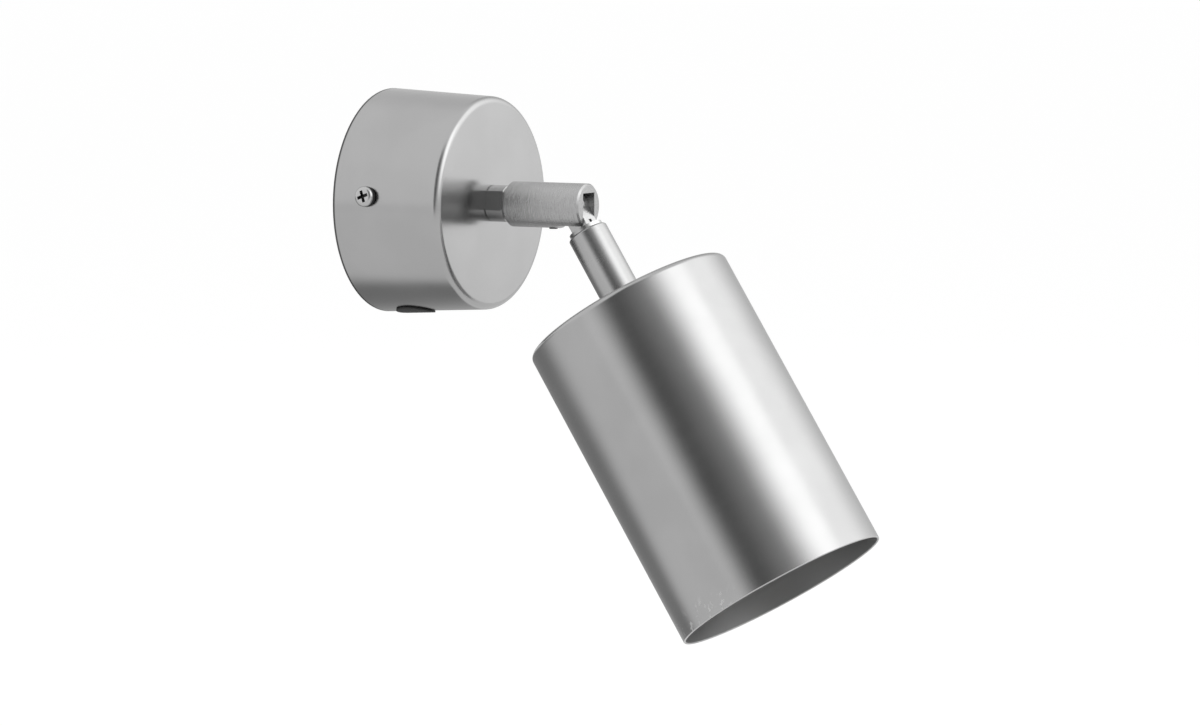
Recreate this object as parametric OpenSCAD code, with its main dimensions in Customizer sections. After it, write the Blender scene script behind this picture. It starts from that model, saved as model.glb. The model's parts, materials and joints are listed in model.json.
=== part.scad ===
// Tube wall light: a wall cup, a swivel arm with a tilting knuckle, and a tube shade over a twist-lock lamp.
// Lengths are millimetres. The wall is the plane y = 0, the light stands out along -Y, and +Z is up.
// The origin is the centre of the wall face.

/* [Wall cup] */
// Outer diameter of the cup at the wall
cup_rim_d = 80; // [66:0.5:100]
// How much narrower the cup is at its front than at the wall
cup_draft = 4.6; // [0:0.2:6]
// Depth of the cup from the wall to its front
cup_depth = 41.8; // [40:0.2:60]
// Thickness of the cup's sheet
cup_wall = 1; // [0.6:0.1:1.4]
// Radius of the rounded edge between side and front
cup_edge_r = 2.4; // [2:0.2:8]

/* [Wall bracket] */
// Space between the bracket's plate and the inside of the cup
plate_gap = 3; // [1:0.5:4]
// Thickness of the bracket's sheet
plate_t = 1.5; // [1:0.1:2.5]
// Distance from the middle of a wall slot to the plate's edge
slot_inset = 6; // [5:0.5:9]
// Width of a wall slot
slot_w = 4.5; // [3.5:0.1:5.5]
// Length of a wall slot, end to end
slot_len = 8; // [6:0.5:9]
// Diameter of the cable hole in the plate
cable_hole_d = 15; // [12:0.5:18]
// Width of a bent tab
tab_w = 10; // [8:0.5:12]

/* [Side screws] */
// Distance of the side screws from the wall
side_screw_depth = 13.6; // [12:0.2:18]
// Turn of the screw line about the cup's axis, in degrees
side_screw_turn = 5; // [0:1:8]
// Thread diameter of a side screw
side_screw_d = 4; // [3:0.5:5]
// Head diameter of a side screw
side_head_d = 7.2; // [6:0.1:9]
// Head height of a side screw
side_head_h = 2.9; // [2:0.1:3.5]

/* [Cable entry] */
// Distance of the blanked entry from the wall
entry_depth = 13.6; // [12:0.2:20]
// Turn of the entry from straight down, in degrees
entry_turn = 10; // [0:1:20]
// Diameter of the entry hole
entry_hole_d = 10; // [8:0.5:12]
// Diameter of the grommet's outer lip
grommet_d = 14; // [13:0.5:18]
// Thickness of the grommet's lips
grommet_lip = 0.7; // [0.5:0.1:1.5]

/* [Swivel collar] */
// Diameter of the collar
collar_d = 13; // [12:0.5:15]
// Length of the collar in front of the cup
collar_len = 6.8; // [4:0.2:10]
// Width across the two wrench flats
collar_flats = 11; // [10.5:0.1:12]
// Turn of the flats about the collar's axis, in degrees
flat_turn = 13; // [0:1:90]
// Diameter of the thread and of the spigot
thread_d = 10; // [9:0.5:11]
// Diameter of the bore for the leads
lead_bore_d = 5; // [4:0.1:5.4]
// Length of the threaded tail inside the cup, from the cup's front
tail_len = 9; // [8:0.5:12]
// Depth of the stop groove
groove_deep = 1.1; // [0.8:0.1:1.3]
// Width of the stop groove
groove_w = 2.8; // [2.4:0.1:3.4]
// Angle that the stop web fills, in degrees
stop_web = 8; // [4:1:20]

/* [Arm barrel] */
// Diameter of the barrel
arm_d = 16; // [15:0.5:18]
// Length of the barrel
arm_len = 31.5; // [29:0.1:45]
// Chamfer at the barrel's rear end
arm_rear_chamfer = 1.5; // [0.5:0.1:1.8]
// Chamfer at the barrel's front end
arm_front_chamfer = 0.6; // [0.2:0.1:0.8]
// Gap between collar and barrel, with the washer in it
swivel_gap = 0.4; // [0.3:0.1:1]
// Distance from the pivot to the barrel's front end
pivot_setback = 6.4; // [5.4:0.1:6.8]

/* [Knuckle] */
// Width of the slot in the barrel
slot_cheek_w = 8; // [7:0.1:8.4]
// Diameter of the tongue's round end
tongue_w = 8.4; // [8.2:0.1:9]
// Depth of the tongue's neck
neck_w = 6.8; // [6.4:0.1:8]
// Gap between the barrel's corners and the tongue's flange
neck_gap = 0.3; // [0.2:0.1:3]
// Diameter of the tongue's flange
flange_d = 12.4; // [11:0.1:13]
// Thickness of the tongue's flange
flange_t = 1.36; // [0.6:0.02:2.4]
// Diameter of the pivot screw
pivot_d = 2.5; // [2.2:0.1:2.6]
// Tilt of the head below level, in degrees
tilt = 57.6; // [0:0.1:90]

/* [Head barrel] */
// Diameter of the barrel
head_barrel_d = 14.5; // [13.5:0.5:16]
// Length of the barrel between flange and shade
head_barrel_len = 30.1; // [28.6:0.1:45]
// Bore of the barrel
head_bore_d = 7; // [6:0.1:7.4]
// Chamfer at the barrel's upper end
head_chamfer = 0.5; // [0.2:0.1:1]

/* [Shade] */
// Outer diameter of the shade
shade_d = 76.4; // [70:0.2:77]
// Length of the shade
shade_len = 113.6; // [105:0.2:160]
// Thickness of the shade's sheet
shade_wall = 0.8; // [0.6:0.1:1.5]
// Radius of the shade's top edge
shade_edge_r = 2; // [1.6:0.1:4]

/* [Lamp holder] */
// Height of the holder's bracket
holder_drop = 17; // [15:0.5:25]
// Width across the bracket's legs
bracket_w = 30; // [28:0.5:36]
// Diameter of the holder
holder_d = 27; // [26:0.5:30]
// Height of the holder
holder_h = 18; // [16:0.5:22]
// Distance between the holder's two screws
holder_screw_spacing = 19; // [18:0.5:20]

/* [Lamp] */
// Diameter of the lamp's front
lamp_d = 50; // [46:0.5:51]
// Length of the lamp without its pins
lamp_len = 47; // [44:0.5:56]
// Distance between the lamp's two pins
pin_spacing = 10; // [10:0.5:11]
// Angle that the lamp turns to lock, in degrees
lamp_turn = 25; // [15:1:30]

/* [Wiring] */
// Diameter of the leads that pass the knuckle
lead_d = 1.5; // [1.2:0.1:1.6]
// Diameter of the earth wire
earth_d = 2; // [1.5:0.1:2.6]

/* [Hidden] */

// Smoothness of round parts
$fn = 96;

// Clearances: between parts that only pass, in a running fit, between faces that slide, and round a screw
pass_gap = 0.3;
run_gap = 0.05;
face_gap = 0.05;
fine_step = 0.01;
thread_gap = 0.05;
// How far a cut runs past the face that it opens
over = 1;
// Steps of a rounded edge
edge_steps = 10;

// Wall cup
cup_front_d = cup_rim_d - cup_draft;
taper = atan(cup_draft / 2 / cup_depth);
cup_inside = cup_depth - cup_wall;

// Wall bracket
plate_d = cup_rim_d - 2 * cup_wall - 2 * plate_gap;
slot_spacing = plate_d - 2 * slot_inset;
tab_top = side_screw_depth + tab_w / 2;
tab_face = sqrt(pow(cup_radius(tab_top) - cup_wall / cos(taper), 2) - pow(tab_w / 2, 2)) - face_gap;
lug_w = 11;
lug_h = 12;
lug_inset = 6;
lug_y = plate_d / 2 - lug_inset;
lug_hole_h = 7;
tag_d = 8;
tag_t = 0.8;
tag_barrel_d = earth_d + 2 * tag_t + 2 * thread_gap;
tag_barrel_len = 4;

// Side screws
side_screw_len = 6;
side_seat_r = cup_radius(side_screw_depth - side_head_d / 2) + face_gap;
side_turns = [180 - side_screw_turn, -side_screw_turn];
recess_turn = 20;

// Cable entry
entry_angle = -90 - entry_turn;
bush_lip = 1;
bush_wall = 1.5;

// Swivel collar
collar_chamfer = 0.3;
collar_end = cup_depth + collar_len;
arm_rear = collar_end + swivel_gap;
arm_front = arm_rear + arm_len;
pivot_y = arm_front - pivot_setback;
tongue_r = tongue_w / 2;
slot_back = pivot_y - tongue_r - 2 * pass_gap + face_gap * 2;
spigot_end = slot_back - face_gap * 2;
groove_lip = 1.6;
groove_at = spigot_end - groove_w / 2 - groove_lip;
lock_washer_t = 0.8;
nut_flats = 14;
nut_t = 3;
washer_d = 17;

// Arm barrel
cheek_top = tongue_r + 1.5 * pass_gap;
grub_d = 3;
grub_tip_d = 2.2;
grub_proud = 0.3;
pivot_head_d = 5.6;
pivot_head_h = 1.8;
pivot_head_sink = 0.5;
pivot_thread_len = 2.6;

// Knuckle
tongue_t = slot_cheek_w - 2 * pass_gap / 3;
barrel_corner = sqrt(pow(arm_d / 2, 2) - pow(slot_cheek_w / 2, 2));
corner_reach = norm([pivot_setback - arm_front_chamfer, barrel_corner]);
neck_len = ceil(corner_reach / fine_step) * fine_step + neck_gap;
channel_w = 4.6;
tongue_skin = 0.8;
channel_h = neck_w - 2 * tongue_skin;
lead_side = pivot_d / 2 + pass_gap + lead_d / 2;
eye_back = lead_side + lead_d / 2 + 2 * face_gap;
eye_front = pivot_d / 2 + pass_gap;
eye_low = tongue_w / 4;
spigot_len = 8;
head_top = neck_len + flange_t;

// Head barrel and shade
shade_top = head_top + head_barrel_len;
shade_mouth = shade_top + shade_len;
head_tail_len = 9;
shade_washer_t = 1;
strip_t = 1.2;
strip_w = 14;
strip_top = shade_top + shade_wall + shade_washer_t;
strip_bottom = strip_top + holder_drop;
foot_gap = 16;

// Lamp holder
holder_top = strip_bottom;
holder_face = holder_top + holder_h;
holder_chamfer = 1.5;
holder_screw_d = 3;
holder_screw_len = 8;
contact_t = 0.6;
contact_deep = 8.2;

// Lamp
pin_d = 5;
pin_neck_d = 3;
pin_len = 7.4;
pin_head_len = 2.6;
lamp_back = holder_face + pass_gap;
lamp_front = lamp_back + lamp_len;
lamp_boss_d = 19;
lamp_boss_h = 10;
lamp_waist_d = 27;
lamp_rim_h = 8;
lamp_skin = 1.6;
lens_sink = 1;
lens_t = 2;
board_t = 1.2;
lamp_turn_steps = 5;

// Terminal block, placed below the cable hole at a share of the space that is left in the cup
block_w = 30;
block_d = 15;
block_h = 14;
block_base_h = 6;
block_share = 0.3;
block_gap = (cup_rim_d / 2 - cup_wall - cable_hole_d / 2 - block_d) * block_share;
block_y = -cable_hole_d / 2 - block_gap - block_d / 2;
pole_pitch = 10;
pole_w = 8.4;
poles = [-pole_pitch, 0, pole_pitch];
sleeve_d = 5;
sleeve_bore_d = 3;
sleeve_h = 6.5;
clamp_screw_d = 3;
clamp_inset = 3.8;
block_screw_d = 2.6;
block_screw_head_d = 5;
block_screw_sink = 1;

// Wires: sides of a wire, steps between two points of its route, where it starts, and how wide it bends
wire_sides = 8;
wire_steps = 4;
wire_start = block_y - block_d / 2 + clamp_inset - clamp_screw_d / 2;
wire_h = plate_t + sleeve_h;
pair_x = lead_d / 2 + pass_gap;
lead_share = 0.43;
lead_bend = (cup_rim_d / 2 - cup_wall + block_y - block_d / 2) * lead_share;
earth_bend = 4;

/* Places and turns */

// Radius of the cup's outside at a distance from the wall
function cup_radius(depth) = cup_rim_d / 2 - cup_draft / 2 * depth / cup_depth;

// Points of an arc about a centre
function arc(centre, r, from, to, steps) = [
    for (i = [0 : steps])
        centre + r * [cos(from + (to - from) * i / steps), sin(from + (to - from) * i / steps)]
];

// Stands a piece on the wall's centre with its own +Z along the light's reach
module from_wall(distance = 0) {
    translate([0, -distance, 0])
        rotate([90, 0, 0])
            children();
}

// Stands a piece on the pivot with its own +Z along the shade's axis
module on_head(distance = 0) {
    translate([0, -pivot_y, 0])
        rotate([90 + tilt, 0, 0])
            translate([0, 0, distance])
                children();
}

// Turns a piece so that its own +Z points outwards through the cup's side
module through_side(turn, depth) {
    rotate([0, 0, turn])
        translate([0, 0, depth])
            rotate([0, 90, 0])
                children();
}

/* Shared shapes */

// Ring with a square section
module ring(outer_d, inner_d, height) {
    difference() {
        cylinder(h = height, d = outer_d);
        translate([0, 0, -over])
            cylinder(h = height + 2 * over, d = inner_d);
    }
}

// Tube with chamfers at both ends
module chamfered_rod(d, length, low_chamfer, high_chamfer) {
    r = d / 2;
    rotate_extrude()
        polygon([
            [0, 0],
            [r - low_chamfer, 0],
            [r, low_chamfer],
            [r, length - high_chamfer],
            [r - high_chamfer, length],
            [0, length]
        ]);
}

// Six-sided nut with a round hole
module hex_nut(flats, hole_d, height) {
    difference() {
        cylinder(h = height, d = flats / cos(30), $fn = 6);
        translate([0, 0, -over])
            cylinder(h = height + 2 * over, d = hole_d);
    }
}

// Toothed lock washer: notches all round its rim
module toothed_washer(outer_d, inner_d, height) {
    notches = 10;
    notch_w = outer_d * 0.1;
    difference() {
        ring(outer_d, inner_d, height);
        for (i = [0 : notches - 1])
            rotate([0, 0, i * 360 / notches])
                translate([outer_d / 2 - notch_w, -notch_w / 2, -over])
                    cube([outer_d, notch_w, height + 2 * over]);
    }
}

// Pan head screw: the head stands up from z = 0 and the shank hangs below
module pan_screw(d, length, head_d, head_h, turn = 0) {
    crown = head_h * 0.45;
    recess_len = head_d * 0.58;
    recess_w = head_d * 0.15;
    recess_h = head_h * 0.6;
    difference() {
        union() {
            rotate_extrude()
                polygon(concat(
                    [[0, 0], [head_d / 2, 0]],
                    arc([head_d / 2 - crown, head_h - crown], crown, 0, 90, 6),
                    [[0, head_h]]
                ));
            translate([0, 0, -length])
                cylinder(h = length + crown, d = d);
        }
        rotate([0, 0, turn])
            translate([-recess_len / 2, -recess_w / 2, head_h - recess_h])
                cube([recess_len, recess_w, head_h]);
        rotate([0, 0, turn + 90])
            translate([-recess_len / 2, -recess_w / 2, head_h - recess_h])
                cube([recess_len, recess_w, head_h]);
    }
}

/* Wires */

// Point on the smooth curve through four neighbours, at a share of the way from the second to the third
function spline_point(a, b, c, d, share) =
    0.5 * (2 * b + (c - a) * share + (2 * a - 5 * b + 4 * c - d) * share * share
        + (3 * b - 3 * c + d - a) * share * share * share);

// Smooth curve through all the points of a route
function smooth(route, steps) = [
    for (i = [0 : len(route) - 2], k = [0 : steps - 1])
        spline_point(
            route[max(i - 1, 0)], route[i], route[i + 1], route[min(i + 2, len(route) - 1)], k / steps
        ),
    route[len(route) - 1]
];

function unit(v) = v / norm(v);
function heading(path, i) = unit(path[min(i + 1, len(path) - 1)] - path[max(i - 1, 0)]);

// Side direction at each point: the last one, made square to the new heading
function sides(path, i, last) =
    i == len(path)
        ? []
        : let (
            ahead = heading(path, i),
            side = unit(last - (last * ahead) * ahead)
        ) concat([side], sides(path, i + 1, side));

// Round wire along a route, as one closed tube
module wire(route, d) {
    path = smooth(route, wire_steps);
    start = heading(path, 0);
    first = unit(cross(start, abs(start[2]) < 0.9 ? [0, 0, 1] : [1, 0, 0]));
    side = sides(path, 0, first);
    rings = len(path);
    n = wire_sides;
    points = [
        for (i = [0 : rings - 1], k = [0 : n - 1])
            path[i] + d / 2 * (cos(360 * k / n) * side[i] + sin(360 * k / n) * cross(heading(path, i), side[i]))
    ];
    skin = [
        for (i = [0 : rings - 2], k = [0 : n - 1], half = [0, 1])
            let (
                a = i * n + k,
                b = i * n + (k + 1) % n,
                c = a + n,
                e = b + n
            ) half == 0 ? [a, c, b] : [b, c, e]
    ];
    back_cap = [[for (k = [0 : n - 1]) k]];
    front_cap = [[for (k = [0 : n - 1]) (rings - 1) * n + n - 1 - k]];
    polyhedron(points = points, faces = concat(skin, back_cap, front_cap));
}

/* Wall cup and bracket */

module cup_skin(extra) {
    height = cup_depth - cup_edge_r;
    cylinder(h = height, r1 = cup_radius(0) + extra, r2 = cup_radius(height) + extra);
}

module wall_cup() {
    edge_z = cup_depth - cup_edge_r;
    edge_centre = [
        (cup_rim_d / 2 * cos(taper) - cup_edge_r - edge_z * sin(taper)) / cos(taper),
        edge_z
    ];
    hole_r = thread_d / 2 + run_gap;
    color("silver")
        from_wall()
            difference() {
                rotate_extrude()
                    polygon(concat(
                        [[cup_rim_d / 2, 0]],
                        arc(edge_centre, cup_edge_r, taper, 90, edge_steps),
                        [[hole_r, cup_depth], [hole_r, cup_inside]],
                        arc(edge_centre, cup_edge_r - cup_wall, 90, taper, edge_steps),
                        [[cup_rim_d / 2 - cup_wall / cos(taper), 0]]
                    ));
                for (turn = side_turns)
                    through_side(turn, side_screw_depth)
                        cylinder(h = cup_rim_d, d = side_screw_d + 2 * pass_gap);
                through_side(entry_angle, entry_depth)
                    cylinder(h = cup_rim_d, d = entry_hole_d);
            }
}

module wall_bracket() {
    color("lightsteelblue")
        from_wall()
            difference() {
                union() {
                    linear_extrude(plate_t) {
                        circle(d = plate_d);
                        for (turn = side_turns)
                            rotate(turn)
                                translate([0, -tab_w / 2])
                                    square([tab_face, tab_w]);
                    }
                    for (turn = side_turns)
                        rotate([0, 0, turn])
                            translate([tab_face - plate_t, 0, 0])
                                side_tab();
                    translate([-lug_w / 2, lug_y, 0])
                        cube([lug_w, plate_t, lug_h]);
                }
                for (side = [-1, 1])
                    translate([side * slot_spacing / 2, 0, -over])
                        linear_extrude(plate_t + 2 * over)
                            wall_slot();
                translate([0, 0, -over])
                    cylinder(h = plate_t + 2 * over, d = cable_hole_d);
                translate([pole_pitch / 2, block_y, -over])
                    cylinder(h = plate_t + 2 * over, d = block_screw_d + 2 * thread_gap);
                translate([0, lug_y - over, lug_hole_h])
                    rotate([-90, 0, 0])
                        cylinder(h = plate_t + 2 * over, d = side_screw_d + 2 * thread_gap);
            }
}

// Bent tab with a round end and a tapped hole, standing up at x = 0
module side_tab() {
    difference() {
        union() {
            translate([0, -tab_w / 2, 0])
                cube([plate_t, tab_w, side_screw_depth]);
            translate([0, 0, side_screw_depth])
                rotate([0, 90, 0])
                    cylinder(h = plate_t, d = tab_w);
        }
        translate([-over, 0, side_screw_depth])
            rotate([0, 90, 0])
                cylinder(h = plate_t + 2 * over, d = side_screw_d + 2 * thread_gap);
    }
}

// Slot with round ends, centred, along x
module wall_slot() {
    reach = (slot_len - slot_w) / 2;
    square([2 * reach, slot_w], center = true);
    for (side = [-1, 1])
        translate([side * reach, 0])
            circle(d = slot_w);
}

module cable_bush() {
    color("black")
        from_wall()
            rotate_extrude()
                polygon([
                    [cable_hole_d / 2 - bush_wall, 0],
                    [cable_hole_d / 2, 0],
                    [cable_hole_d / 2, plate_t],
                    [cable_hole_d / 2 + bush_lip, plate_t],
                    [cable_hole_d / 2 + bush_lip, plate_t + bush_lip],
                    [cable_hole_d / 2 - bush_wall, plate_t + bush_lip]
                ]);
}

module side_screws() {
    color("gainsboro")
        from_wall()
            for (turn = side_turns)
                through_side(turn, side_screw_depth)
                    translate([0, 0, side_seat_r])
                        pan_screw(side_screw_d, side_screw_len, side_head_d, side_head_h, recess_turn);
}

// Grommet: an outer lip, a plug in the hole and an inner lip, all following the cup's side
module entry_grommet() {
    inner_lip_d = grommet_d - 2 * grommet_lip;
    inside = cup_wall / cos(taper);
    color("black")
        from_wall()
            for (layer = [
                [grommet_d, face_gap, grommet_lip],
                [entry_hole_d - 2 * run_gap, -inside - grommet_lip, grommet_lip],
                [inner_lip_d, -inside - grommet_lip, -inside - face_gap]
            ])
                intersection() {
                    through_side(entry_angle, entry_depth)
                        cylinder(h = cup_rim_d, d = layer[0]);
                    difference() {
                        cup_skin(layer[2]);
                        cup_skin(layer[1]);
                    }
                }
}

/* Swivel collar */

module swivel_collar() {
    r = collar_d / 2;
    color("silver")
        from_wall()
            difference() {
                rotate_extrude()
                    polygon([
                        [lead_bore_d / 2, cup_depth - tail_len],
                        [thread_d / 2, cup_depth - tail_len],
                        [thread_d / 2, cup_depth],
                        [r - collar_chamfer, cup_depth],
                        [r, cup_depth + collar_chamfer],
                        [r, collar_end - collar_chamfer],
                        [r - collar_chamfer, collar_end],
                        [thread_d / 2, collar_end],
                        [thread_d / 2, spigot_end],
                        [lead_bore_d / 2, spigot_end]
                    ]);
                for (turn = [0, 180])
                    rotate([0, 0, turn - flat_turn])
                        translate([collar_flats / 2, -collar_d, cup_depth])
                            cube([collar_d, 2 * collar_d, collar_len]);
                stop_groove();
            }
}

// Ring cut that the grub screw's tip runs in, but for the web that stops it at the top
module stop_groove() {
    floor_r = thread_d / 2 - groove_deep;
    web_w = 2 * floor_r * sin(stop_web / 2);
    translate([0, 0, groove_at - groove_w / 2])
        difference() {
            cylinder(h = groove_w, d = thread_d + over);
            translate([0, 0, -over])
                cylinder(h = groove_w + 2 * over, r = floor_r);
            translate([-web_w / 2, 0, -over])
                cube([web_w, thread_d, groove_w + 2 * over]);
        }
}

module collar_lock_washer() {
    color("gray")
        from_wall(cup_inside - lock_washer_t)
            toothed_washer(washer_d, thread_d + 2 * run_gap, lock_washer_t);
}

module collar_nut() {
    color("goldenrod")
        from_wall(cup_inside - lock_washer_t - nut_t)
            hex_nut(nut_flats, thread_d + 2 * run_gap, nut_t);
}

module swivel_washer() {
    color("dimgray")
        from_wall(collar_end)
            ring(collar_d - collar_chamfer * 2, thread_d + 2 * run_gap, swivel_gap - face_gap);
}

/* Terminal block and earth */

module at_block() {
    from_wall()
        translate([0, block_y, plate_t])
            children();
}

module terminal_block() {
    color("ivory")
        at_block()
            difference() {
                union() {
                    translate([-block_w / 2, -block_d / 2, 0])
                        cube([block_w, block_d, block_base_h]);
                    for (x = poles)
                        translate([x - pole_w / 2, -block_d / 2, 0])
                            cube([pole_w, block_d, block_h]);
                }
                for (x = poles) {
                    translate([x, block_d / 2 + over, sleeve_h])
                        rotate([90, 0, 0])
                            cylinder(h = block_d + 2 * over, d = sleeve_d + 2 * thread_gap);
                    for (y = [-clamp_inset, clamp_inset])
                        translate([x, y, sleeve_h])
                            cylinder(h = block_h, d = clamp_screw_d + 2 * pass_gap);
                }
                translate([pole_pitch / 2, 0, -over])
                    cylinder(h = block_h, d = block_screw_d + 2 * pass_gap);
                translate([pole_pitch / 2, 0, block_base_h - block_screw_sink])
                    cylinder(h = block_h, d = block_screw_head_d + 2 * pass_gap);
            }
}

module terminal_sleeves() {
    length = block_d - 2 * over;
    color("goldenrod")
        at_block()
            for (x = poles)
                difference() {
                    translate([x, length / 2, sleeve_h])
                        rotate([90, 0, 0])
                            difference() {
                                cylinder(h = length, d = sleeve_d);
                                translate([0, 0, -over])
                                    cylinder(h = length + 2 * over, d = sleeve_bore_d);
                            }
                    for (y = [-clamp_inset, clamp_inset])
                        translate([x, y, sleeve_h])
                            cylinder(h = block_h, d = clamp_screw_d + 2 * thread_gap);
                }
}

// Slotted clamp screws, two over each sleeve
module terminal_screws() {
    bottom = sleeve_h + sleeve_bore_d / 2;
    length = block_h - bottom - over;
    color("gainsboro")
        at_block()
            for (x = poles, y = [-clamp_inset, clamp_inset])
                translate([x, y, bottom])
                    difference() {
                        cylinder(h = length, d = clamp_screw_d);
                        translate([-clamp_screw_d, -clamp_screw_d / 10, length - clamp_screw_d / 3])
                            cube([2 * clamp_screw_d, clamp_screw_d / 5, clamp_screw_d]);
                    }
}

module block_screw() {
    seat = block_base_h - block_screw_sink;
    color("gainsboro")
        at_block()
            translate([pole_pitch / 2, 0, seat])
                pan_screw(block_screw_d, seat + plate_t - face_gap, block_screw_head_d, block_screw_d * 0.7);
}

// Ring terminal: a flat ring under the screw, a neck, and a barrel that holds the wire
module earth_tag() {
    neck_w = tag_barrel_d / 2;
    color("goldenrod")
        from_wall(lug_hole_h)
            translate([0, lug_y, 0])
                rotate([90, 0, 0]) {
                    ring(tag_d, side_screw_d + 2 * thread_gap, tag_t);
                    translate([-tag_d / 2 - tag_t, 0, tag_barrel_d / 2])
                        rotate([0, -90, 0])
                            ring(tag_barrel_d, earth_d + 2 * thread_gap, tag_barrel_len);
                    translate([-tag_d / 2 - 2 * tag_t, -neck_w / 2, 0])
                        cube([3 * tag_t, neck_w, tag_t]);
                }
}

module earth_screw() {
    color("gainsboro")
        from_wall(lug_hole_h)
            translate([0, lug_y - tag_t, 0])
                rotate([90, 0, 0])
                    pan_screw(side_screw_d, side_screw_len, side_head_d, side_head_h * 0.8);
}

/* Wires in the base, in the wall's own frame: across, up, out */

module base_lead(pole, side) {
    low_y = block_y - block_d / 2;
    turn_y = low_y - lead_bend;
    tail_end = cup_depth - tail_len;
    route = [
        [pole, wire_start, wire_h],
        [pole, low_y - lead_bend * 0.4, wire_h],
        [pole, turn_y, wire_h + lead_bend * 0.8],
        [pole * 0.8, turn_y + lead_bend * 0.2, wire_h + lead_bend * 2],
        [pole * 0.5, block_y, plate_t + block_h + lead_bend * 1.2],
        [side * pair_x * 2, block_y * 0.35, tail_end - lead_bend * 1.4],
        [side * pair_x * 1.2, -lead_bend * 0.2, tail_end - lead_bend * 0.2],
        [side * pair_x, 0, tail_end + lead_bend * 0.8],
        [side * pair_x, 0, collar_end],
        [side * pair_x, 0, spigot_end - face_gap]
    ];
    from_wall()
        wire(route, lead_d);
}

module base_live_wire() {
    color("saddlebrown")
        base_lead(pole_pitch, 1);
}

module base_neutral_wire() {
    color("royalblue")
        base_lead(-pole_pitch, -1);
}

module base_earth_wire() {
    high_y = block_y + block_d / 2;
    tag_x = -tag_d / 2 - tag_t;
    tag_y = lug_y - tag_barrel_d / 2;
    far_x = -earth_bend * 5.25;
    route = [
        [0, high_y - clamp_inset + clamp_screw_d / 2, wire_h],
        [0, high_y + earth_bend * 0.5, wire_h],
        [-earth_bend * 0.5, high_y + earth_bend * 1.25, wire_h + earth_bend * 0.25],
        [-earth_bend * 3, high_y + earth_bend * 2, wire_h],
        [far_x, high_y + earth_bend * 4, wire_h - earth_bend * 0.5],
        [far_x, tag_y - earth_bend * 2, lug_hole_h],
        [far_x + earth_bend, tag_y - earth_bend * 0.25, lug_hole_h],
        [tag_x - tag_barrel_len - earth_bend, tag_y, lug_hole_h],
        [tag_x - tag_barrel_len, tag_y, lug_hole_h],
        [tag_x - face_gap, tag_y, lug_hole_h]
    ];
    color("yellowgreen")
        from_wall()
            wire(route, earth_d);
}

/* Arm */

module arm_barrel() {
    cheek_x = slot_cheek_w / 2;
    color("silver")
        from_wall()
            difference() {
                translate([0, 0, arm_rear])
                    chamfered_rod(arm_d, arm_len, arm_rear_chamfer, arm_front_chamfer);
                translate([0, 0, arm_rear - over])
                    cylinder(h = slot_back - arm_rear + over, d = thread_d + 2 * run_gap);
                translate([-cheek_x, -arm_d, slot_back - face_gap])
                    cube([slot_cheek_w, arm_d + cheek_top, arm_len]);
                translate([0, 0, groove_at])
                    rotate([90, 0, 0])
                        cylinder(h = arm_d, d = grub_d + 2 * thread_gap);
                translate([0, 0, pivot_y])
                    rotate([0, 90, 0]) {
                        cylinder(h = arm_d, d = pivot_d + 2 * run_gap);
                        translate([0, 0, pivot_seat()])
                            cylinder(h = arm_d, d = pivot_head_d + 2 * run_gap);
                        translate([0, 0, -cheek_x - pivot_thread_len])
                            cylinder(h = cheek_x, d = pivot_d + 2 * run_gap);
                    }
            }
}

// Where the pivot screw's head sits, measured from the middle
function pivot_seat() = arm_d / 2 - pivot_head_sink - pivot_head_h;

module retaining_screw() {
    tip_r = thread_d / 2 - groove_deep + pass_gap;
    body_r = thread_d / 2 + pass_gap;
    color("dimgray")
        from_wall(groove_at)
            rotate([90, 0, 0])
                difference() {
                    union() {
                        translate([0, 0, tip_r])
                            cylinder(h = body_r - tip_r + over, d = grub_tip_d);
                        translate([0, 0, body_r])
                            cylinder(h = arm_d / 2 + grub_proud - body_r, d = grub_d);
                    }
                    translate([0, 0, body_r + over])
                        cylinder(h = arm_d, d = grub_d / 2, $fn = 6);
                }
}

module pivot_screw() {
    cheek_x = slot_cheek_w / 2;
    tip = -cheek_x - pivot_thread_len + face_gap;
    color("gainsboro")
        from_wall(pivot_y)
            rotate([0, 90, 0])
                difference() {
                    union() {
                        translate([0, 0, tip])
                            cylinder(h = pivot_seat() - tip + face_gap, d = pivot_d);
                        translate([0, 0, pivot_seat()])
                            cylinder(h = pivot_head_h, d = pivot_head_d);
                    }
                    translate([0, 0, pivot_seat() + pivot_head_h / 3])
                        cylinder(h = arm_d, d = pivot_d * 0.8, $fn = 6);
                }
}

/* Head */

module knuckle_tongue() {
    half_t = tongue_t / 2;
    color("silver")
        on_head()
            difference() {
                union() {
                    rotate([0, 90, 0])
                        translate([0, 0, -half_t])
                            cylinder(h = tongue_t, d = tongue_w);
                    translate([-half_t, -neck_w / 2, 0])
                        cube([tongue_t, neck_w, neck_len]);
                    translate([0, 0, neck_len])
                        cylinder(h = flange_t, d = flange_d);
                    translate([0, 0, head_top])
                        cylinder(h = spigot_len, d = thread_d);
                }
                translate([-channel_w / 2, -eye_back, -tongue_w])
                    cube([channel_w, eye_back + eye_front, tongue_w + eye_low]);
                translate([-channel_w / 2, -channel_h / 2, 0])
                    cube([channel_w, channel_h, neck_len - over]);
                translate([0, 0, neck_len - 2 * over])
                    cylinder(h = flange_t + spigot_len + 3 * over, d = head_bore_d);
                rotate([0, 90, 0])
                    translate([0, 0, -tongue_t])
                        cylinder(h = 2 * tongue_t, d = pivot_d + 2 * run_gap);
            }
}

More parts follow.
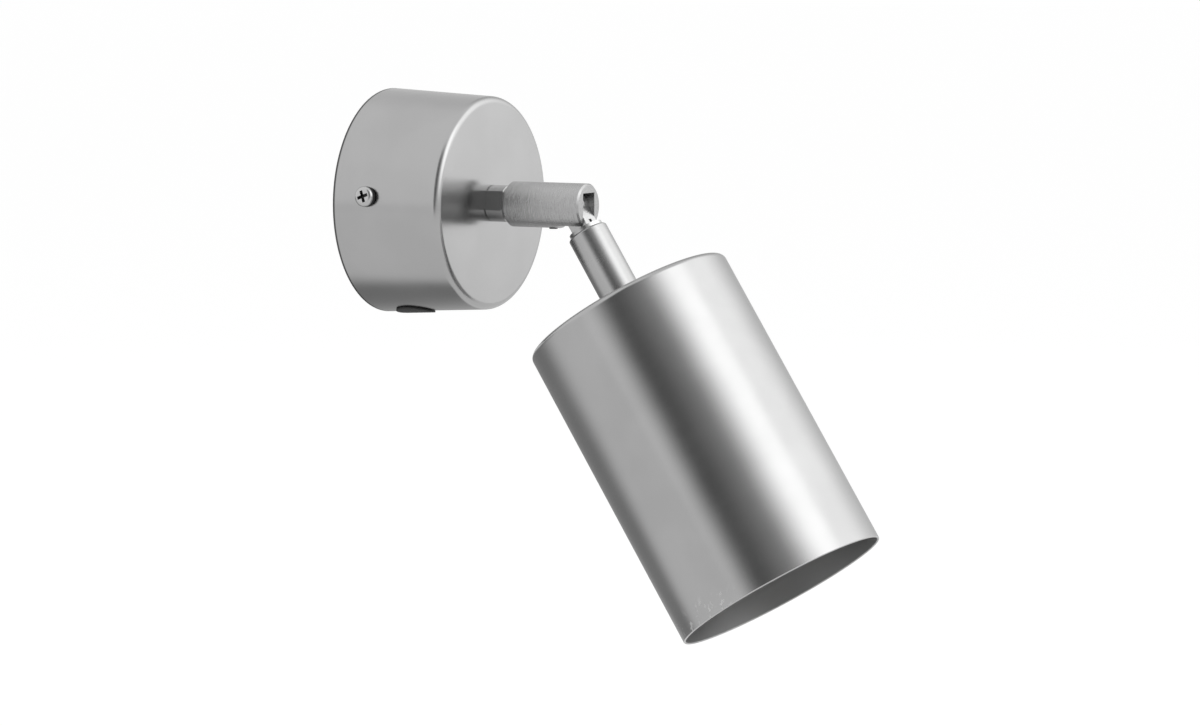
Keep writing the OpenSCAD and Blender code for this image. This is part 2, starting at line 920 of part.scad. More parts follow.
module head_barrel() {
    r = head_barrel_d / 2;
    tail_r = thread_d / 2;
    socket_r = thread_d / 2 + run_gap;
    tail_chamfer = head_chamfer;
    color("silver")
        on_head()
            rotate_extrude()
                polygon([
                    [socket_r, head_top],
                    [r - head_chamfer, head_top],
                    [r, head_top + head_chamfer],
                    [r, shade_top],
                    [tail_r, shade_top],
                    [tail_r, shade_top + head_tail_len - tail_chamfer],
                    [tail_r - tail_chamfer, shade_top + head_tail_len],
                    [head_bore_d / 2, shade_top + head_tail_len],
                    [head_bore_d / 2, head_top + spigot_len + face_gap],
                    [socket_r, head_top + spigot_len + face_gap]
                ]);
}

module shade() {
    r = shade_d / 2;
    hole_r = thread_d / 2 + run_gap;
    edge_centre = [r - shade_edge_r, shade_top + shade_edge_r];
    lip_centre = [r - shade_wall / 2, shade_mouth - shade_wall / 2];
    color("silver")
        on_head()
            rotate_extrude()
                polygon(concat(
                    [[hole_r, shade_top + shade_wall], [hole_r, shade_top]],
                    arc(edge_centre, shade_edge_r, -90, 0, edge_steps),
                    arc(lip_centre, shade_wall / 2, 0, 180, edge_steps),
                    arc(edge_centre, shade_edge_r - shade_wall, 0, -90, edge_steps)
                ));
}

module shade_washer() {
    color("gray")
        on_head(shade_top + shade_wall)
            ring(2 * thread_d, thread_d + 2 * run_gap, shade_washer_t);
}

module shade_lock_washer() {
    color("gray")
        on_head(strip_top + strip_t)
            toothed_washer(washer_d * 0.9, thread_d + 2 * run_gap, lock_washer_t);
}

module shade_nut() {
    color("goldenrod")
        on_head(strip_top + strip_t + lock_washer_t)
            hex_nut(nut_flats, thread_d + 2 * run_gap, nut_t);
}

// Bent strip: a top plate on the thread, two legs, and two feet that carry the holder
module holder_bracket() {
    foot_len = (bracket_w - foot_gap) / 2;
    color("lightsteelblue")
        on_head(strip_top)
            difference() {
                union() {
                    translate([-bracket_w / 2, -strip_w / 2, 0])
                        cube([bracket_w, strip_w, strip_t]);
                    for (side = [0, 1])
                        mirror([side, 0, 0]) {
                            translate([bracket_w / 2 - strip_t, -strip_w / 2, 0])
                                cube([strip_t, strip_w, holder_drop]);
                            translate([foot_gap / 2, -strip_w / 2, holder_drop - strip_t])
                                cube([foot_len, strip_w, strip_t]);
                        }
                }
                translate([0, 0, -over])
                    cylinder(h = strip_t + 2 * over, d = thread_d + 2 * run_gap);
                for (side = [-1, 1])
                    translate([side * holder_screw_spacing / 2, 0, holder_drop - strip_t - over])
                        cylinder(h = strip_t + 2 * over, d = holder_screw_d + 2 * run_gap);
            }
}

// Ceramic holder: two wire holes at the back, two arc slots for the pins at the front
module lamp_holder() {
    wire_hole_d = lead_d + 2 * pass_gap;
    color("whitesmoke")
        on_head(holder_top)
            difference() {
                chamfered_rod(holder_d, holder_h, holder_chamfer, holder_chamfer);
                for (side = [0, 180])
                    rotate([0, 0, side])
                        for (step = [0 : lamp_turn_steps])
                            rotate([0, 0, -step * lamp_turn / lamp_turn_steps])
                                translate([pin_spacing / 2, 0, holder_h - contact_deep])
                                    cylinder(h = holder_h, d = pin_d + 2 * pass_gap);
                for (side = [-1, 1]) {
                    translate([side * holder_screw_spacing / 2, 0, -over])
                        cylinder(h = holder_screw_len + 2 * over, d = holder_screw_d + 2 * run_gap);
                    translate([side * pin_spacing / 2, 0, -over])
                        cylinder(h = holder_h, d = wire_hole_d);
                }
            }
}

// Spring contacts at the bottom of the pin slots
module holder_contacts() {
    color("goldenrod")
        on_head(holder_face - contact_deep)
            for (side = [-1, 1])
                translate([side * pin_spacing / 2, 0, 0])
                    cylinder(h = contact_t, d = pin_d);
}

module holder_screws() {
    head_d = holder_screw_d * 1.8;
    head_h = holder_screw_d * 0.6;
    color("gainsboro")
        on_head(strip_bottom - strip_t)
            for (side = [-1, 1])
                translate([side * holder_screw_spacing / 2, 0, 0])
                    rotate([180, 0, 0])
                        pan_screw(holder_screw_d, holder_screw_len, head_d, head_h);
}

/* Wires in the head, in the shade's own frame */

module head_lead(side) {
    in_neck = -channel_h / 2 + lead_d / 2 + 2 * face_gap;
    route = [
        [side * pair_x, -lead_side, -tongue_r * 0.72],
        [side * pair_x, -lead_side, 0],
        [side * pair_x, in_neck, eye_low],
        [side * pair_x, in_neck, neck_len - 2 * over],
        [side * pair_x, in_neck / 2, head_top + spigot_len],
        [side * pair_x, 0, shade_top],
        [side * pair_x * 1.2, 0, shade_top + head_tail_len],
        [side * pin_spacing * 0.4, 0, holder_top - head_tail_len * 0.45],
        [side * pin_spacing / 2, 0, holder_top + lead_d],
        [side * pin_spacing / 2, 0, holder_face - contact_deep - face_gap]
    ];
    on_head()
        wire(route, lead_d);
}

module head_live_wire() {
    color("saddlebrown")
        head_lead(1);
}

module head_neutral_wire() {
    color("royalblue")
        head_lead(-1);
}

/* Lamp */

module lamp_base() {
    color("ivory")
        on_head(lamp_back)
            cylinder(h = lamp_boss_h, d = lamp_boss_d);
}

module lamp_pins() {
    color("gainsboro")
        on_head(lamp_back)
            for (side = [-1, 1])
                translate([side * pin_spacing / 2, 0, -pin_len]) {
                    cylinder(h = pin_head_len, d = pin_d);
                    cylinder(h = pin_len, d = pin_neck_d);
                }
}

// Lamp body: a cone that opens to a straight rim, hollow for the board and the lens
module lamp_body() {
    r = lamp_d / 2;
    waist_r = lamp_waist_d / 2;
    rim_low = lamp_len - lamp_rim_h;
    floor_z = lamp_len - lens_sink - lens_t - board_t;
    color("whitesmoke")
        on_head(lamp_back)
            rotate_extrude()
                polygon([
                    [0, lamp_boss_h],
                    [waist_r, lamp_boss_h],
                    [r, rim_low],
                    [r, lamp_len],
                    [r - lamp_skin, lamp_len],
                    [r - lamp_skin, floor_z],
                    [0, floor_z]
                ]);
}

module lamp_board() {
    color("khaki")
        on_head(lamp_front - lens_sink - lens_t - board_t)
            cylinder(h = board_t, d = lamp_d - 2 * lamp_skin - 2 * run_gap);
}

module lamp_lens() {
    color("aliceblue")
        on_head(lamp_front - lens_sink - lens_t)
            cylinder(h = lens_t, d = lamp_d - 2 * lamp_skin - 2 * run_gap);
}

wall_bracket();
cable_bush();
wall_cup();
side_screws();
entry_grommet();
swivel_collar();
collar_lock_washer();
collar_nut();
terminal_block();
terminal_sleeves();
terminal_screws();
block_screw();
earth_tag();
earth_screw();
base_live_wire();
base_neutral_wire();
base_earth_wire();
swivel_washer();
arm_barrel();
retaining_screw();
pivot_screw();
knuckle_tongue();
head_barrel();
shade();
shade_washer();
shade_lock_washer();
shade_nut();
holder_bracket();
lamp_holder();
holder_contacts();
holder_screws();
head_live_wire();
head_neutral_wire();
lamp_base();
lamp_pins();
lamp_body();
lamp_board();
lamp_lens();
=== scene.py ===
"""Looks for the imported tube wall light: finishes, fine pieces, a plain studio and the camera."""

import json
import math
from collections import namedtuple

import bmesh
import bpy
import numpy as np
from mathutils import Matrix, Vector


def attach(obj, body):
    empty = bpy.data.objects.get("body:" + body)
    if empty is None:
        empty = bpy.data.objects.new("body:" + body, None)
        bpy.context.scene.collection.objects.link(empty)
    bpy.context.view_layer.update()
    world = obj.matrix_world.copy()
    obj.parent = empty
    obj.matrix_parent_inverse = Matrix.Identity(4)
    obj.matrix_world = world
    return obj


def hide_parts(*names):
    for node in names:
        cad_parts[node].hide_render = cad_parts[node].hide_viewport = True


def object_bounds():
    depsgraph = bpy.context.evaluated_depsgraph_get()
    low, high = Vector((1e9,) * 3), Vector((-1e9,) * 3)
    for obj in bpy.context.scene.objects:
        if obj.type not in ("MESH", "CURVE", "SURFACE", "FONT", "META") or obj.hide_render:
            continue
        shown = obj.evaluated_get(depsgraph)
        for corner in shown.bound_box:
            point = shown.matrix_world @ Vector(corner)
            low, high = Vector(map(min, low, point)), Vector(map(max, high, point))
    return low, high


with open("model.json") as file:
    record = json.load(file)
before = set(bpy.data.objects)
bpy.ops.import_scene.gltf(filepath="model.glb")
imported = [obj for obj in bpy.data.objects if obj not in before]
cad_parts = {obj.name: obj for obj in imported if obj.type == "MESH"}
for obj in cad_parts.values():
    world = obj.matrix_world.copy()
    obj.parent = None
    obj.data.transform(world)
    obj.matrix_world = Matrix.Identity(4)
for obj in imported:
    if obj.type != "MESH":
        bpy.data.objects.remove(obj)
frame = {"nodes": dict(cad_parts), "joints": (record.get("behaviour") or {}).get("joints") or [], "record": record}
cad_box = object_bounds()

bl_info = {
    "name": "Tube wall light",
    "version": (1, 0, 0),
    "blender": (4, 5, 0),
    "location": "View3D > Sidebar > Wall light",
    "description": "Finishes and fine pieces of a tube wall light with a swivel arm and a tilting knuckle",
    "category": "Object",
}

record = frame["record"]
body_of_node = {
    node: body for body, members in record["behaviour"]["bodies"].items() for node in members
}
slot_of = {part["node"]: part["material_slot"] for part in record["subparts"]}
joints = {joint["name"]: joint for joint in frame["joints"]}
pivot = Vector(joints["shade_tilt"]["pos_m"])
head_axis = Vector(joints["lamp_twist"]["axis"])


def stand(origin, axis):
    """The matrix that puts a piece's own +Z on an axis through a point; its +X stays the world's +X."""
    z = Vector(axis).normalized()
    x = Vector((1, 0, 0))
    y = z.cross(x)
    turn = Matrix((x, y, z)).transposed().to_4x4()
    return Matrix.Translation(origin) @ turn


on_wall = stand((0, 0, 0), (0, -1, 0))
on_head = stand(pivot, head_axis)


# Finishes by name, filled as they are made
finishes = {}

# Nodes with a finish of their own; every other node has the finish of its material slot
own_finish = {
    "wall_cup": "cup_nickel",
    "shade": "tube_nickel",
    "swivel_collar": "collar_nickel",
    "arm_barrel": "arm_nickel",
    "knuckle_tongue": "tongue_nickel",
    "head_barrel": "neck_nickel",
    "side_screws": "cup_screw_steel",
}

# Plain metals: colour, roughness and depth of the drawing marks in metres
smooth_metals = {
    "bright_steel": ((0.6, 0.6, 0.6), 0.22, 2e-6),
    "dark_steel": ((0.09, 0.09, 0.09), 0.4, 4e-6),
    "brass": ((0.66, 0.5, 0.23), 0.27, 3e-6),
}

# Moulded finishes: colour, roughness and depth of the skin in metres
moulded_finishes = {
    "black_rubber": ((0.012, 0.012, 0.012), 0.6, 8e-6),
    "white_nylon": ((0.78, 0.77, 0.73), 0.42, 6e-6),
    "grey_nylon": ((0.1, 0.1, 0.1), 0.45, 6e-6),
    "white_plastic": ((0.78, 0.78, 0.78), 0.33, 5e-6),
    "led_board": ((0.75, 0.75, 0.72), 0.5, 3e-6),
    "led_phosphor": ((0.8, 0.62, 0.12), 0.5, 3e-6),
    "brown_insulation": ((0.17, 0.07, 0.03), 0.4, 4e-6),
    "blue_insulation": ((0.03, 0.12, 0.4), 0.4, 4e-6),
    "green_yellow_insulation": ((0.35, 0.5, 0.05), 0.4, 4e-6),
}

# The photograph's camera: degrees, pixels of the photograph, millimetres of the sensor, and metres
photo_azimuth = -60.736
photo_elevation = 5.422
photo_focal_px = 4489.85
photo_width_px = 1200
sensor_mm = 36
camera_aim = Vector((0, -0.06, -0.025))
camera_distance = 1.58272
camera_right = 0.02182
camera_down = 0.03086

# The studio's middle, which the screen and the softboxes stand round, in metres
studio_middle = Vector((0, -0.07, -0.04))

# The mirrored screen: its radius in metres, and first, last and count of its azimuths and elevations
screen_radius = 2.5
screen_azimuths = (-110, 170, 140)
screen_elevations = (-64, 72, 68)

# Panels round the screen: each one changes its strength between two azimuths, in degrees
screen_panels = (
    ("black flag beside the camera", -106, -82, -0.88),
    ("grey card next to it", -82, -45, 0.26),
    ("bright panel in front", -53, -1, 1.94),
    ("its softer part", 10, 26, -0.47),
    ("its far edge", 46, 104, -1.2),
    ("white wall again", 104, 160, 0.3),
)

# Elevations, in degrees, between which the panels begin, grow bright from a low share, and end
panels_foot = (-62, -35)
panels_rise = (-15, 30)
panels_top = (44, 68)
low_share = 0.2

# The grey table low in front: azimuths of its soft sides, elevations of its soft top, and its strength
table_left = (-75, -55)
table_right = (30, 50)
table_top = (-2, 16)
table_grey = 0.73

# The grey card on the floor behind the light: its azimuth, its half width and its core, in degrees
floor_card_azimuth = 155
floor_card_half = 62
floor_card_core = 8


# Settings


class FinishSettings(bpy.types.PropertyGroup):
    """Colours and finishes that a user would change."""

    nickel: bpy.props.FloatVectorProperty(
        name="Nickel", description="Colour of the satin metal", default=(0.43, 0.43, 0.43),
        min=0, max=1, size=3, subtype="COLOR",
    )
    satin: bpy.props.FloatProperty(
        name="Satin", description="Roughness of the satin metal", default=0.21,
        min=0.05, max=0.6, subtype="FACTOR",
    )
    turned: bpy.props.FloatProperty(
        name="Turned", description="Roughness of the turned metal", default=0.26,
        min=0.05, max=0.6, subtype="FACTOR",
    )
    ring_depth: bpy.props.FloatProperty(
        name="Ring depth", description="Depth of the turning rings on the arm", default=0.00009,
        min=0, max=0.0003, unit="LENGTH", precision=6,
    )
    line_pitch: bpy.props.FloatProperty(
        name="Line pitch", description="Distance between two polishing lines", default=0.0004,
        min=0.0001, max=0.002, unit="LENGTH",
    )
    line_depth: bpy.props.FloatProperty(
        name="Line depth", description="Depth of the polishing lines", default=0.000002,
        min=0, max=0.00005, unit="LENGTH", precision=6,
    )


class EdgeSettings(bpy.types.PropertyGroup):
    """Sizes of the broken edges."""

    machined: bpy.props.FloatProperty(
        name="Machined edge", description="Width of the broken edges on the turned pieces",
        default=0.00018, min=0, max=0.0005, unit="LENGTH", precision=5,
    )
    sheet: bpy.props.FloatProperty(
        name="Sheet edge", description="Width of the broken edges on sheet metal",
        default=0.00015, min=0, max=0.0004, unit="LENGTH", precision=5,
    )
    moulded: bpy.props.FloatProperty(
        name="Moulded edge", description="Width of the rounded edges on plastic and ceramic",
        default=0.0004, min=0, max=0.001, unit="LENGTH", precision=5,
    )


class LensSettings(bpy.types.PropertyGroup):
    """The lamp's face."""

    pitch: bpy.props.FloatProperty(
        name="Lenslet pitch", description="Distance between two lenslets of the lamp's face",
        default=0.0032, min=0.001, max=0.01, unit="LENGTH", precision=4,
    )
    sag: bpy.props.FloatProperty(
        name="Lenslet depth", description="Depth of the dips between the lenslets",
        default=0.0005, min=0.0001, max=0.001, unit="LENGTH", precision=5,
    )


class StudioSettings(bpy.types.PropertyGroup):
    """The light and the floor."""

    fill: bpy.props.FloatProperty(
        name="Fill", description="Strength of the light from all round", default=0.55, min=0, max=2,
    )
    key: bpy.props.FloatProperty(
        name="Key", description="Power of the soft key light", default=14.0,
        min=0, max=200, unit="POWER",
    )
    floor_drop: bpy.props.FloatProperty(
        name="Floor drop", description="Distance of the floor below the light", default=0.11,
        min=0, max=2, unit="LENGTH",
    )


def settings():
    return bpy.context.scene.wall_light


# Shader maths


class Signal:
    """A socket that takes part in sums: each sum on it adds a Math node to the same finish."""

    def __init__(self, finish, socket):
        self.finish = finish
        self.socket = socket

    def __add__(self, other):
        return self.finish.math("ADD", self, other)

    __radd__ = __add__

    def __sub__(self, other):
        return self.finish.math("SUBTRACT", self, other)

    def __rsub__(self, other):
        return self.finish.math("SUBTRACT", other, self)

    def __mul__(self, other):
        return self.finish.math("MULTIPLY", self, other)

    __rmul__ = __mul__

    def __truediv__(self, other):
        return self.finish.math("DIVIDE", self, other)

    def __rtruediv__(self, other):
        return self.finish.math("DIVIDE", other, self)


class Finish:
    """One material's nodes, added by one call that takes a node's type, settings and sockets."""

    def __init__(self, name):
        self.material = bpy.data.materials.new(name)
        self.material.use_nodes = True
        self.tree = self.material.node_tree
        self.tree.nodes.clear()
        self.shader = self.node("ShaderNodeBsdfPrincipled")
        self.output = self.node("ShaderNodeOutputMaterial")
        self.tree.links.new(self.shader.outputs[0], self.output.inputs[0])
        finishes[name] = self.material

    def node(self, kind, settings=(), inputs=()):
        """Adds a node, sets what it is, then feeds its sockets with values or signals."""
        node = self.tree.nodes.new(kind)
        for name, value in dict(settings).items():
            setattr(node, name, value)
        for key, value in dict(inputs).items():
            self.feed(node.inputs[key], value)
        return node

    def feed(self, socket, value):
        """Links a signal to a socket, or sets a plain value on it."""
        if isinstance(value, Signal):
            self.tree.links.new(value.socket, socket)
        else:
            socket.default_value = value

    def math(self, operation, *values):
        node = self.node("ShaderNodeMath", {"operation": operation}, dict(enumerate(values)))
        return Signal(self, node.outputs[0])

    def step(self, value, low, high, start=0.0, end=1.0):
        """Goes smoothly from start to end as the value goes from low to high."""
        node = self.node(
            "ShaderNodeMapRange",
            {"interpolation_type": "SMOOTHSTEP"},
            {"Value": value, "From Min": low, "From Max": high, "To Min": start, "To Max": end},
        )
        return Signal(self, node.outputs[0])

    def fall(self, value, low, high):
        """Goes smoothly from 1 to 0 as the value goes from low to high."""
        return self.step(value, low, high, 1.0, 0.0)

    def object_point(self, place=None, scale=(1, 1, 1)):
        """Object coordinates, measured from a place with its own axes where one is given."""
        point = Signal(self, self.node("ShaderNodeTexCoord").outputs["Object"])
        if place is not None:
            back = place.inverted()
            point = self.mapped(point, back.to_translation(), back.to_euler(), (1, 1, 1))
        if tuple(scale) != (1, 1, 1):
            point = self.mapped(point, (0, 0, 0), (0, 0, 0), scale)
        return point

    def mapped(self, point, location, rotation, scale):
        node = self.node(
            "ShaderNodeMapping",
            {"vector_type": "POINT"},
            {"Vector": point, "Location": location, "Rotation": rotation, "Scale": scale},
        )
        return Signal(self, node.outputs[0])

    def parts(self, point):
        node = self.node("ShaderNodeSeparateXYZ", (), {0: point})
        return [Signal(self, socket) for socket in node.outputs]

    def point(self, x, y, z):
        node = self.node("ShaderNodeCombineXYZ", (), {0: x, 1: y, 2: z})
        return Signal(self, node.outputs[0])

    def reach(self, x, y):
        """The distance of a point from its place's own Z axis."""
        return self.math("SQRT", x * x + y * y)

    def noise(self, point, scale, detail=2.0, roughness=0.5):
        node = self.node(
            "ShaderNodeTexNoise", (),
            {"Vector": point, "Scale": scale, "Detail": detail, "Roughness": roughness},
        )
        return Signal(self, node.outputs[0])

    def blend(self, share, low, high):
        """Mixes two colours, or a colour into a signal, by a share."""
        ends = [end if isinstance(end, Signal) else (*end[:3], 1) for end in (low, high)]
        inputs = {"Factor": share, 6: ends[0], 7: ends[1]}
        node = self.node("ShaderNodeMix", {"data_type": "RGBA"}, inputs)
        return Signal(self, node.outputs[2])

    def bump(self, height, distance):
        node = self.node("ShaderNodeBump", (), {"Height": height, "Distance": distance, "Strength": 1.0})
        return Signal(self, node.outputs[0])

    def glow(self, strength):
        """A white light of a strength, for surfaces that are lit by themselves."""
        return self.node("ShaderNodeEmission", (), {"Color": (1, 1, 1, 1), "Strength": strength})

    def mixed(self, share, first, second):
        """Mixes two shader nodes by a share."""
        node = self.node("ShaderNodeMixShader", (), {0: share})
        self.tree.links.new(first.outputs[0], node.inputs[1])
        self.tree.links.new(second.outputs[0], node.inputs[2])
        return node

    def dress(self, **sockets):
        """Feeds the main shader: base_color=..., roughness=... name its sockets."""
        for name, value in sockets.items():
            if name == "base_color" and not isinstance(value, Signal):
                value = (*value[:3], 1)
            self.feed(self.shader.inputs[name.replace("_", " ").title()], value)


def sway(signal, amount):
    """Turns a signal between 0 and 1 into one that goes up and down by half an amount."""
    return (signal - 0.5) * amount


def tinted(colour, share):
    """A colour made lighter or darker by a share, at most white."""
    return [min(1, channel * share) for channel in colour]


# Finishes: the scales of their noise are in cells a metre, and lengths are in metres

# A part of a finish that differs: where it is, what it does to the colour, and how much rougher it is
Zone = namedtuple("Zone", "mask tint rougher")


def satin_metal(name, place, colour, roughness, pitch, depth, grain_share=0.3, zones=None):
    """Metal polished round an axis: fine rings in the bump, cloudy roughness, faint marks from handling.

    The rings follow the distance along the axis plus the distance from it, so they go round the side and
    round the ends alike. They wander a little with the angle, so that no ring is drawn with a ruler. Deep
    rings are a turned finish: they spread what the metal mirrors along its axis and leave it sharp across.
    A function of the finish and the place gives the zones that differ.
    """
    cloud_scale = 45.0
    grain_scale = 2600.0
    mark_scale = 330.0
    mark_stretch = (1, 1, 0.25)
    mark_edge = (0.66, 0.78)
    axis_reach = 1e-5
    f = Finish(name)
    x, y, z = f.parts(f.object_point(place))
    reach = f.math("MAXIMUM", f.reach(x, y), axis_reach)
    rings = f.noise(f.point(x / reach, y / reach, (z + reach) / pitch), 1.0, 3.0, 0.6)
    cloud = f.noise(f.object_point(), cloud_scale, 3.0)
    grain = f.noise(f.object_point(), grain_scale, 1.0)
    marks = f.step(f.noise(f.object_point(scale=mark_stretch), mark_scale, 4.0, 0.7), *mark_edge)
    rough = roughness + sway(cloud, 0.05) + sway(rings, 0.05) + sway(grain, 0.03) + marks * 0.05
    shade = f.blend(f.step(cloud, 0.3, 0.7), tinted(colour, 0.97), tinted(colour, 1.03))
    for zone in zones(f, (x, y, z), reach) if zones else ():
        shade = f.blend(zone.mask, shade, tinted(colour, zone.tint))
        rough = rough + zone.mask * zone.rougher
    relief = f.bump(rings + grain * grain_share, depth)
    f.dress(base_color=shade, roughness=rough, metallic=1.0, normal=relief)


def cup_zones(f, point, reach):
    """The cut edge of the cup's sheet, along its rim by the wall, is painted darker: painted shade where the rim
    meets the wall.
    """
    shaded_rim = (0.0005, 0.0009)
    # painted shade: a dark band along the rim where it meets the wall
    return [Zone(f.fall(point[2], *shaded_rim), tint=0.22, rougher=0.2)]


def tube_zones(f, point, reach):
    """The tube is matt inside and painted darker there, as painted shade; its bare lip is painted lighter, as a
    painted highlight; and one side has pale scuffs near its mouth.

    A surface counts as outside within a thin skin of the tube's radius. Starts are where a zone begins and
    fulls where it is at its strongest, measured in from the closed top or back from the mouth.
    """
    outer_skin = 0.0004
    outer_fade = 0.0001
    inside_start = 0.0003
    inside_full = 0.0006
    scuff_scale = 260.0
    scuff_stretch = (1, 1, 0.6)
    scuff_edge = (0.56, 0.64)
    scuffs_start = 0.010
    scuffs_full = 0.001
    scuffed_side = (-0.004, 0.006)
    lip_start = 0.0005
    lip_full = 0.0002
    mouth, top, radius = along_head("shade")
    wall = radius - outer_skin
    outside = f.step(reach, wall - outer_fade, wall)
    inside = (1.0 - outside) * f.step(point[2], top + inside_start, top + inside_full)
    near = f.step(point[2], mouth - scuffs_start, mouth - scuffs_full) * f.fall(point[1], *scuffed_side)
    scuffs = f.step(f.noise(f.object_point(scale=scuff_stretch), scuff_scale, 4.0, 0.65), *scuff_edge)
    return [
        # painted shade: the matt inside is painted darker
        Zone(inside, tint=0.75, rougher=0.26),
        Zone(near * outside * scuffs, tint=1.5, rougher=0.2),
        # painted highlight: the bare lip is painted lighter
        Zone(f.step(point[2], mouth - lip_start, mouth - lip_full), tint=1.2, rougher=0.1),
    ]


def tongue_zones(f, point, reach):
    """The flat front of the tongue and its flange is polished and painted lighter, as a painted highlight, and its
    round end is matt and painted lighter on one side, as painted light.
    """
    front_face = (0.0032, 0.0033)
    front_start = (0.0022, 0.003)
    round_end = (0.0016, 0.0022)
    lit_end_side = (0.0004, 0.001)
    # painted highlight: the flat front is painted lighter
    front = f.step(point[1], *front_face) * f.step(point[2], *front_start)
    # painted light: one side of the round end is painted lighter
    lit_end = f.fall(point[2], *round_end) * f.fall(point[0], *lit_end_side)
    return [Zone(front, tint=1.45, rougher=-0.02), Zone(lit_end, tint=1.3, rougher=0.3)]


def recessed_steel(name, place, top, colour, roughness):
    """Screw heads on one line: bright steel on top, with painted shade in the recess and down the side of the
    head.
    """
    recess_depth = (0.0003, 0.0008)
    recess_reach = (0.0026, 0.003)
    side_depth = (0.0011, 0.0016)
    grain_scale = 3800.0
    grain_depth = 2e-6
    f = Finish(name)
    x, y, z = f.parts(f.object_point(place))
    # painted shade: the recess and the side of the head are painted dark
    deep = top - f.math("ABSOLUTE", z)
    recess = f.step(deep, *recess_depth) * f.fall(f.reach(x, y), *recess_reach)
    dark = f.math("MAXIMUM", recess, f.step(deep, *side_depth))
    grain = f.noise(f.object_point(), grain_scale)
    shade = f.blend(dark, colour, tinted(colour, 0.12))
    rough = roughness + sway(grain, 0.06) + dark * 0.3
    f.dress(base_color=shade, roughness=rough, metallic=1.0, normal=f.bump(grain, grain_depth))


def plated_steel(name, colour, roughness, depth):
    """Zinc-plated sheet: a faint crystal pattern in colour and roughness, and a soft rolled grain."""
    crystal_scale = 620.0
    cloud_scale = 90.0
    grain_scale = 2200.0
    grain_stretch = (1, 1, 0.08)
    f = Finish(name)
    crystals = f.node("ShaderNodeTexVoronoi", (), {"Vector": f.object_point(), "Scale": crystal_scale})
    tone = Signal(f, crystals.outputs["Distance"])
    cloud = f.noise(f.object_point(), cloud_scale, 3.0)
    grain = f.noise(f.object_point(scale=grain_stretch), grain_scale)
    rough = roughness + sway(cloud, 0.12) + (tone - 0.4) * 0.08
    pattern = f.step(tone + cloud * 0.4, 0.3, 0.9)
    shade = f.blend(pattern, tinted(colour, 0.9), tinted(colour, 1.06))
    relief = f.bump(grain + tone * 0.3, depth)
    f.dress(base_color=shade, roughness=rough, metallic=1.0, normal=relief)


def smooth_metal(name, colour, roughness, depth):
    """Plain plated or drawn metal: slight clouds in the finish and fine drawing marks."""
    cloud_scale = 260.0
    grain_scale = 3800.0
    f = Finish(name)
    cloud = f.noise(f.object_point(), cloud_scale, 3.0)
    grain = f.noise(f.object_point(), grain_scale)
    rough = roughness + sway(cloud, 0.14) + sway(grain, 0.06)
    shade = f.blend(cloud, tinted(colour, 0.9), tinted(colour, 1.08))
    f.dress(base_color=shade, roughness=rough, metallic=1.0, normal=f.bump(grain, depth))


def moulded(name, colour, roughness, depth, skin_scale=1400.0, coat=0.0, clear=0.0):
    """Moulded plastic, rubber or ceramic: a fine pebbled skin, with dust-like changes in its gloss."""
    cloud_scale = 120.0
    f = Finish(name)
    cloud = f.noise(f.object_point(), cloud_scale, 4.0)
    skin = f.noise(f.object_point(), skin_scale, 2.0, 0.6)
    rough = roughness + sway(cloud, 0.12) + sway(skin, 0.08)
    shade = f.blend(f.step(cloud, 0.25, 0.75), tinted(colour, 0.94), tinted(colour, 1.05))
    f.dress(
        base_color=shade, roughness=rough, normal=f.bump(skin, depth),
        coat_weight=coat, transmission_weight=clear,
    )


def finish_of(node):
    """A node's own finish, or that of its material slot."""
    return finishes[own_finish.get(node, slot_of[node])]


# Shapes

# The corners of a square in their order round it, in halves of its side
square_corners = ((-1, -1), (1, -1), (1, 1), (-1, 1))


def add_mesh(name, points, faces, place=None):
    """A new object at the origin from arrays of points and faces, with its place in its mesh."""
    points = np.asarray(points, float).reshape(-1, 3)
    if place is not None:
        matrix = np.array(place)
        points = points @ matrix[:3, :3].T + matrix[:3, 3]
    mesh = bpy.data.meshes.new(name)
    mesh.from_pydata(points.tolist(), [], faces)
    mesh.update()
    piece = bpy.data.objects.new(name, mesh)
    bpy.context.scene.collection.objects.link(piece)
    return piece


def grid_faces(rows, columns):
    """Faces of a grid of points: each one joins a point to its next neighbours along both sides."""
    index = np.arange(rows * columns).reshape(rows, columns)
    faces = np.stack([index[:-1, :-1], index[1:, :-1], index[1:, 1:], index[:-1, 1:]], -1)
    return faces.reshape(-1, 4).tolist()


def node_shell(node):
    """The CAD node's solids as merged points and faces, ready for broken edges."""
    weld = 2e-7
    mesh = frame["nodes"][node].data
    points = np.zeros(len(mesh.vertices) * 3)
    mesh.vertices.foreach_get("co", points)
    mesh.calc_loop_triangles()
    face_points = np.zeros(len(mesh.loop_triangles) * 3, int)
    mesh.loop_triangles.foreach_get("vertices", face_points)
    points = points.reshape(-1, 3)
    cells = np.round(points / weld).astype(np.int64)
    _, first, same = np.unique(cells, axis=0, return_index=True, return_inverse=True)
    faces = same.reshape(-1)[face_points].reshape(-1, 3)
    whole = (faces[:, 0] != faces[:, 1]) & (faces[:, 1] != faces[:, 2]) & (faces[:, 2] != faces[:, 0])
    return points[first], faces[whole]


def merged_copy(name, node, flat_angle):
    """A copy of a CAD node, and its working mesh with all faces that lie in one plane joined up."""
    points, faces = node_shell(node)
    piece = add_mesh(name, points, faces.tolist())
    work = bmesh.new()
    work.from_mesh(piece.data)
    bmesh.ops.dissolve_limit(
        work, angle_limit=math.radians(flat_angle), verts=work.verts, edges=work.edges,
        use_dissolve_boundaries=False,
    )
    return piece, work


def write_back(piece, work, sharp_angle):
    """Writes a working mesh back to its piece, smooth but for edges sharper than an angle."""
    work.to_mesh(piece.data)
    work.free()
    piece.data.shade_smooth()
    piece.data.set_sharp_from_angle(angle=math.radians(sharp_angle))


